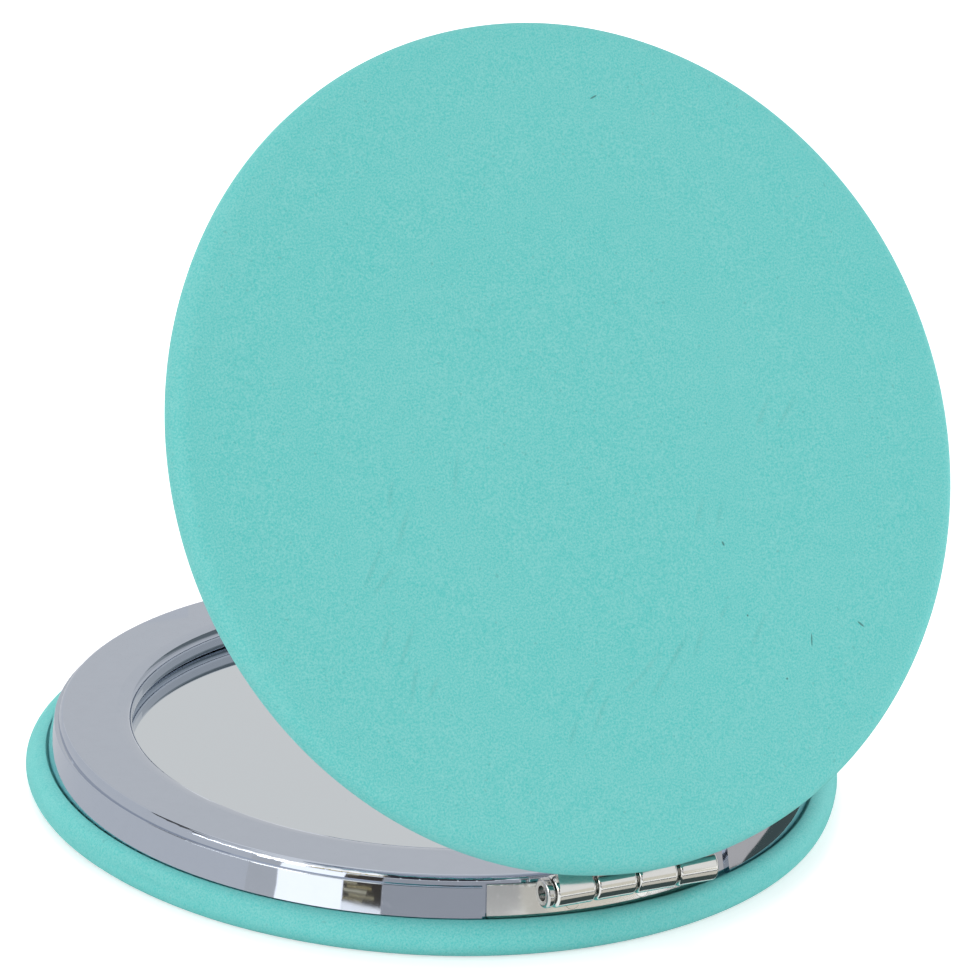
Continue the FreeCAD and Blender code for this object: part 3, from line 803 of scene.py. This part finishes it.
def make_world(stage):
    """Even room light, white where it is seen."""
    world = bpy.data.worlds.new("room")
    bpy.context.scene.world = world
    graph = Graph(world)
    shown = seen(graph)
    strength = shown + (1 - shown) * stage.world_strength
    light = graph.node("ShaderNodeBackground", None, {"Color": rgba((1, 1, 1)), "Strength": strength})
    graph.node("ShaderNodeOutputWorld", None, {"Surface": light})


def add_lamp(name, spot, size, energy, mirrored):
    """Rectangular soft light turned towards the object; one that is not mirrored stays out of reflections."""
    lamp = bpy.data.lights.new(name, "AREA")
    lamp.shape, lamp.size, lamp.size_y = "RECTANGLE", size[0], size[1]
    lamp.energy = energy
    made = bpy.data.objects.new(name, lamp)
    turn = (Vector(LAMP_AIM) - Vector(spot)).to_track_quat("-Z", "Y").to_matrix().to_4x4()
    made.matrix_world = Matrix.Translation(spot) @ turn
    made.visible_glossy = mirrored
    bpy.context.scene.collection.objects.link(made)


def add_card(name, turns, edges, colour, strength):
    """Curved studio card that metal and glass reflect: it lights nothing and stays out of the picture.

    A surface of revolution about Z, between two azimuths, through edges (radius, height) from low to high.
    """
    a = np.radians(np.linspace(*turns, CARD_TURNS))[None, :]
    r, z = np.array(edges)[:, :1], np.array(edges)[:, 1:]
    points = np.stack([r * np.cos(a), r * np.sin(a), z + 0.0 * a], axis=2)
    at = np.arange(points[:, :, 0].size).reshape(points.shape[:2])
    quads = np.stack([at[:-1, :-1], at[1:, :-1], at[1:, 1:], at[:-1, 1:]], axis=2).reshape(-1, 4)
    mesh = bpy.data.meshes.new(name)
    mesh.from_pydata(points.reshape(-1, 3).tolist(), [], quads.tolist())
    material, graph = new_finish(name + "_paper")
    glow = graph.node("ShaderNodeEmission", None, {"Color": rgba(colour), "Strength": strength})
    graph.node("ShaderNodeOutputMaterial", None, {"Surface": glow})
    mesh.materials.append(material)
    card = bpy.data.objects.new(name, mesh)
    bpy.context.scene.collection.objects.link(card)
    card.visible_camera = False
    card.visible_diffuse = False
    card.visible_shadow = False


def make_lamps():
    """Soft lights, and the cards that the bright metal reflects."""
    for lamp in LAMPS:
        add_lamp(*lamp)
    for name, turns, heights, colour, strength in FAR_CARDS:
        e = np.radians(np.linspace(*heights, CARD_ROWS))
        edges = CARD_DISTANCE * np.stack([np.cos(e), np.sin(e)], axis=1)
        add_card(name, turns, edges, colour, strength)
    for name, turns, low, high, colour, strength in NEAR_CARDS:
        add_card(name, turns, np.array([low, high]) * MILLIMETRE, colour, strength)


def make_camera(stage):
    """Camera on a line from a point over the base's middle, by azimuth, elevation, roll and distance."""
    a, e, w = stage.azimuth, stage.elevation, stage.roll
    back = np.array([math.sin(a) * math.cos(e), -math.cos(a) * math.cos(e), math.sin(e)])
    right = np.array([math.cos(a), math.sin(a), 0.0])
    up = np.cross(back, right)
    right, up = right * math.cos(w) + up * math.sin(w), up * math.cos(w) - right * math.sin(w)
    aim = right * AIM_RIGHT + up * AIM_UP + np.array([0.0, 0.0, AIM_HEIGHT])
    spot = aim + back * stage.distance
    camera = bpy.data.cameras.new("camera")
    camera.sensor_fit, camera.sensor_width = "HORIZONTAL", SENSOR_WIDTH
    camera.lens = SENSOR_WIDTH * stage.lens
    camera.shift_x = (PICTURE_WIDTH / 2 - OPTICAL_MIDDLE[0]) / PICTURE_WIDTH
    camera.shift_y = (OPTICAL_MIDDLE[1] - PICTURE_WIDTH / 2) / PICTURE_WIDTH
    camera.clip_start, camera.clip_end = 0.01, 20.0
    made = bpy.data.objects.new("camera", camera)
    made.matrix_world = Matrix(np.column_stack([right, up, back, spot]).tolist() + [[0, 0, 0, 1]])
    bpy.context.scene.collection.objects.link(made)
    bpy.context.scene.camera = made


# Panel and registration

class COMPACT_PT_panel(Panel):
    """Lists the compact's settings and its operators"""
    bl_label = "Compact mirror"
    bl_idname = "COMPACT_PT_panel"
    bl_space_type = "VIEW_3D"
    bl_region_type = "UI"
    bl_category = "Compact"

    def draw(self, context):
        for settings in SETTINGS:
            column = self.layout.column()
            group = getattr(context.scene, settings)
            for name in group.bl_rna.properties.keys():
                if name not in ("rna_type", "name"):
                    column.prop(group, name)
        for operator in OPERATORS:
            self.layout.operator(operator.bl_idname)


SETTINGS = {
    "compact_cover": CoverSettings,
    "compact_hardware": HardwareSettings,
    "compact_stage": StageSettings,
}
OPERATORS = (
    COMPACT_OT_cover_skins,
    COMPACT_OT_cover_foams,
    COMPACT_OT_mirror_tapes,
    COMPACT_OT_hardware,
    COMPACT_OT_stage,
)


def register():
    for name, group in SETTINGS.items():
        bpy.utils.register_class(group)
        setattr(bpy.types.Scene, name, PointerProperty(type=group))
    for made in OPERATORS + (COMPACT_PT_panel,):
        bpy.utils.register_class(made)


def unregister():
    for made in (COMPACT_PT_panel,) + OPERATORS[::-1]:
        bpy.utils.unregister_class(made)
    for name, group in SETTINGS.items():
        delattr(bpy.types.Scene, name)
        bpy.utils.unregister_class(group)


def main():
    register()
    bpy.ops.compact.cover_skins()
    bpy.ops.compact.cover_foams()
    bpy.ops.compact.mirror_tapes()
    bpy.ops.compact.hardware()
    bpy.ops.compact.stage()


if __name__ == "__main__":
    main()
